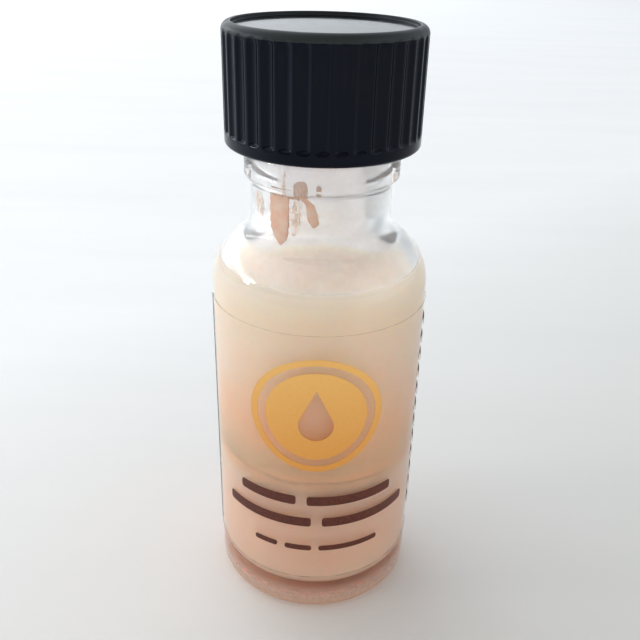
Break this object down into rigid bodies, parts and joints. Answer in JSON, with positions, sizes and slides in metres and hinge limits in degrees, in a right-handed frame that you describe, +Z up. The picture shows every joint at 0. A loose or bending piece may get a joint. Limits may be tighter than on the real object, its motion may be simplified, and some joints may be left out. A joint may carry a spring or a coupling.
{
  "type": "small lotion bottle",
  "caption": "Small round clear-glass bottle of settled two-layer lotion with a wrap label and a black ribbed screw cap that turns and lifts off its thread.",
  "frame": {"origin": "centre of the bottle's base, on the surface that it stands on", "axes": "+Z up along the bottle's axis, towards the cap; -Y is the front, where the label's device is"},
  "size_m": [0.0252, 0.0252, 0.0694],
  "materials": {
    "clear_glass": "polished",
    "cap_plastic": "satin",
    "liner_film": "satin",
    "liner_pulp": "matte",
    "cloudy_liquid": "gloss",
    "pink_powder": "matte",
    "dried_lotion": "matte",
    "clear_film": "gloss",
    "orange_ink": "satin",
    "brown_ink": "satin"
  },
  "bodies": {
    "bottle": {"glass_bottle": "clear_glass", "lotion_liquid": "cloudy_liquid", "lotion_sediment": "pink_powder", "dried_residue": "dried_lotion", "label_film": "clear_film", "label_emblem": "orange_ink", "label_front_bars": "brown_ink", "label_back_bars": "brown_ink"},
    "liner": {"liner_backing": "liner_pulp", "liner_facing": "liner_film"},
    "cap": {"screw_cap": "cap_plastic"}
  },
  "joints": [
    {"name": "cap_rise", "type": "slide", "parent": "bottle", "child": "liner", "axis": [0, 0, 1], "range_m": [0, 0.0127]},
    {"name": "cap_turn", "type": "hinge", "parent": "liner", "child": "cap", "pos_m": [0, 0, 0.0632], "axis": [0, 0, 1], "range_deg": [0, 1440]}
  ],
  "couplings": [
    {"joint": "cap_rise", "follows": "cap_turn", "m_per_rad": 0.00050531}
  ]
}
